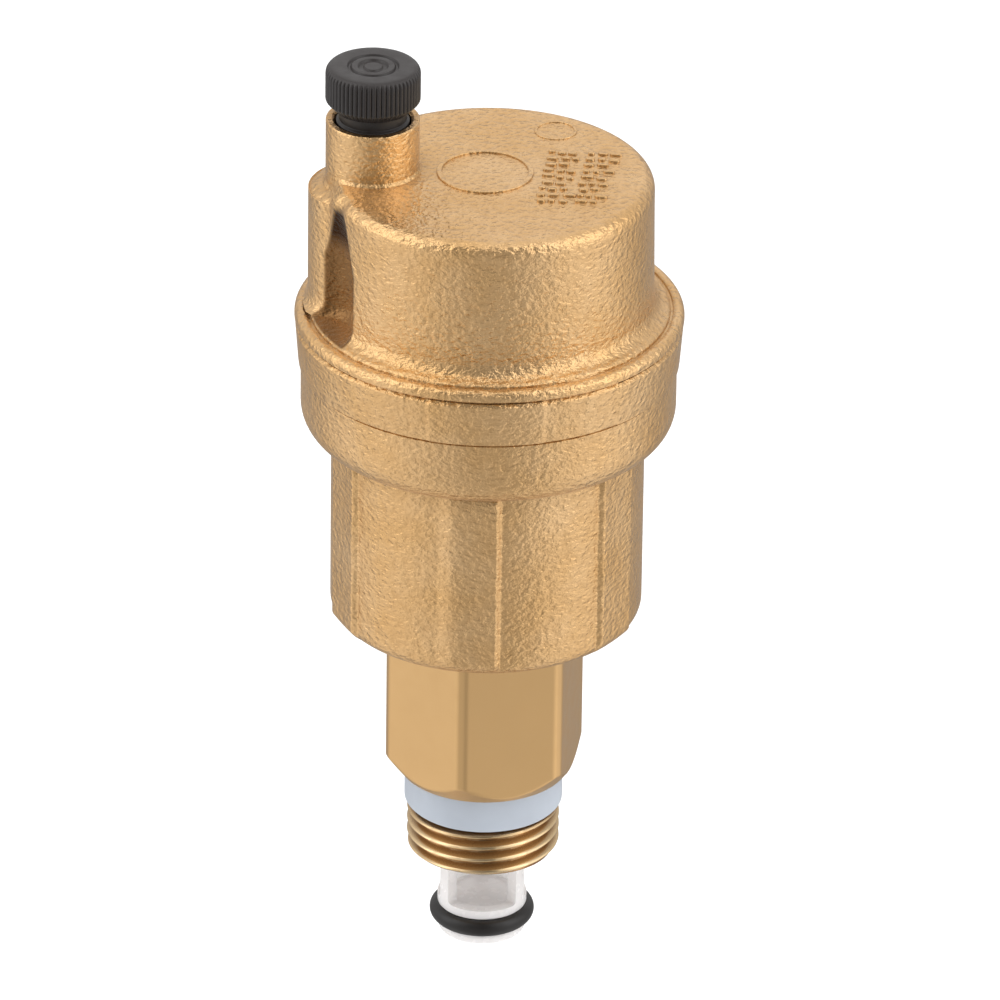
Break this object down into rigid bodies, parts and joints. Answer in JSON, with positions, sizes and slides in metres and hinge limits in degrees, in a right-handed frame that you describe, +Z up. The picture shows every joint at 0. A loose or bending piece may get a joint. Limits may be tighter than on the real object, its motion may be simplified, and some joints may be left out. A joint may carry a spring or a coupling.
{
  "type": "automatic air vent",
  "caption": "Float-operated automatic air vent with an offset capped outlet, screwed on an automatic shut-off valve with a male thread, seal ring and spring-loaded shutter.",
  "frame": {"origin": "on the axis of the mounting thread, where the thread begins under the seal ring: the plane of the face of the fitting that the vent is screwed into", "axes": "+Z up along the thread and the vent body; the capped outlet stands on the -X side; X and Z span the part's plane of symmetry"},
  "size_m": [0.0524, 0.0524, 0.1303],
  "materials": {
    "forged_brass": "hot forged and shot blasted, satin, with a fine orange-peel texture",
    "machined_brass": "turned bar, fine satin",
    "seal_white": "pale bluish-white sealing polymer, waxy",
    "shutter_plastic": "translucent white moulded polymer",
    "rubber_black": "matte black rubber",
    "cap_black": "matte black moulded plastic with a fine knurl",
    "spring_steel": "drawn stainless wire",
    "inner_plastic": "natural moulded polymer"
  },
  "bodies": {
    "shutoff": {"shutoff_body": "machined_brass", "seal_ring": "seal_white", "shutter_spring": "spring_steel"},
    "shutter": {"shutter": "shutter_plastic", "shutter_oring": "rubber_black", "shutter_clip": "spring_steel"},
    "vent": {"vent_body": "forged_brass", "cover": "forged_brass", "cover_oring": "rubber_black", "spigot_oring": "rubber_black", "vent_nozzle": "machined_brass", "nozzle_oring": "rubber_black", "valve_guide": "inner_plastic", "lever_pin": "spring_steel", "valve_spring": "spring_steel"},
    "float": {"float_shell": "inner_plastic", "float_lid": "inner_plastic"},
    "lever": {"lever": "spring_steel"},
    "stem": {"valve_stem": "inner_plastic", "valve_pad": "rubber_black"},
    "cap_carrier": {"cap_seal": "rubber_black"},
    "cap": {"vent_cap": "cap_black"}
  },
  "joints": [
    {"name": "shutter_lift", "type": "slide", "parent": "shutoff", "child": "shutter", "axis": [0, 0, 1], "range_m": [0, 0.00965], "deforming": ["shutter_spring"]},
    {"name": "vent_turn", "type": "hinge", "parent": "shutter", "child": "vent", "pos_m": [0, 0, 0.0298], "axis": [0, 0, 1], "range_deg": [0, 2592]},
    {"name": "float_rise", "type": "slide", "parent": "vent", "child": "float", "axis": [0, 0, 1], "range_m": [0, 0.006]},
    {"name": "lever_tilt", "type": "hinge", "parent": "vent", "child": "lever", "pos_m": [-0.0196, 0, 0.0825], "axis": [0, -1, 0], "range_deg": [0, 17.9]},
    {"name": "stem_lift", "type": "slide", "parent": "vent", "child": "stem", "axis": [0, 0, 1], "range_m": [0, 0.00111], "deforming": ["valve_spring"]},
    {"name": "cap_lift", "type": "slide", "parent": "vent", "child": "cap_carrier", "axis": [0, 0, 1], "range_m": [0, 0.00201]},
    {"name": "cap_turn", "type": "hinge", "parent": "cap_carrier", "child": "cap", "pos_m": [-0.016, 0, 0.103], "axis": [0, 0, 1], "range_deg": [0, 720]}
  ],
  "couplings": [
    {"joint": "shutter_lift", "follows": "vent_turn", "m_per_rad": 0.00021279},
    {"joint": "lever_tilt", "follows": "float_rise", "rad_per_m": 51.854},
    {"joint": "stem_lift", "follows": "float_rise", "ratio": 0.18367},
    {"joint": "cap_lift", "follows": "cap_turn", "m_per_rad": 0.00015915}
  ]
}
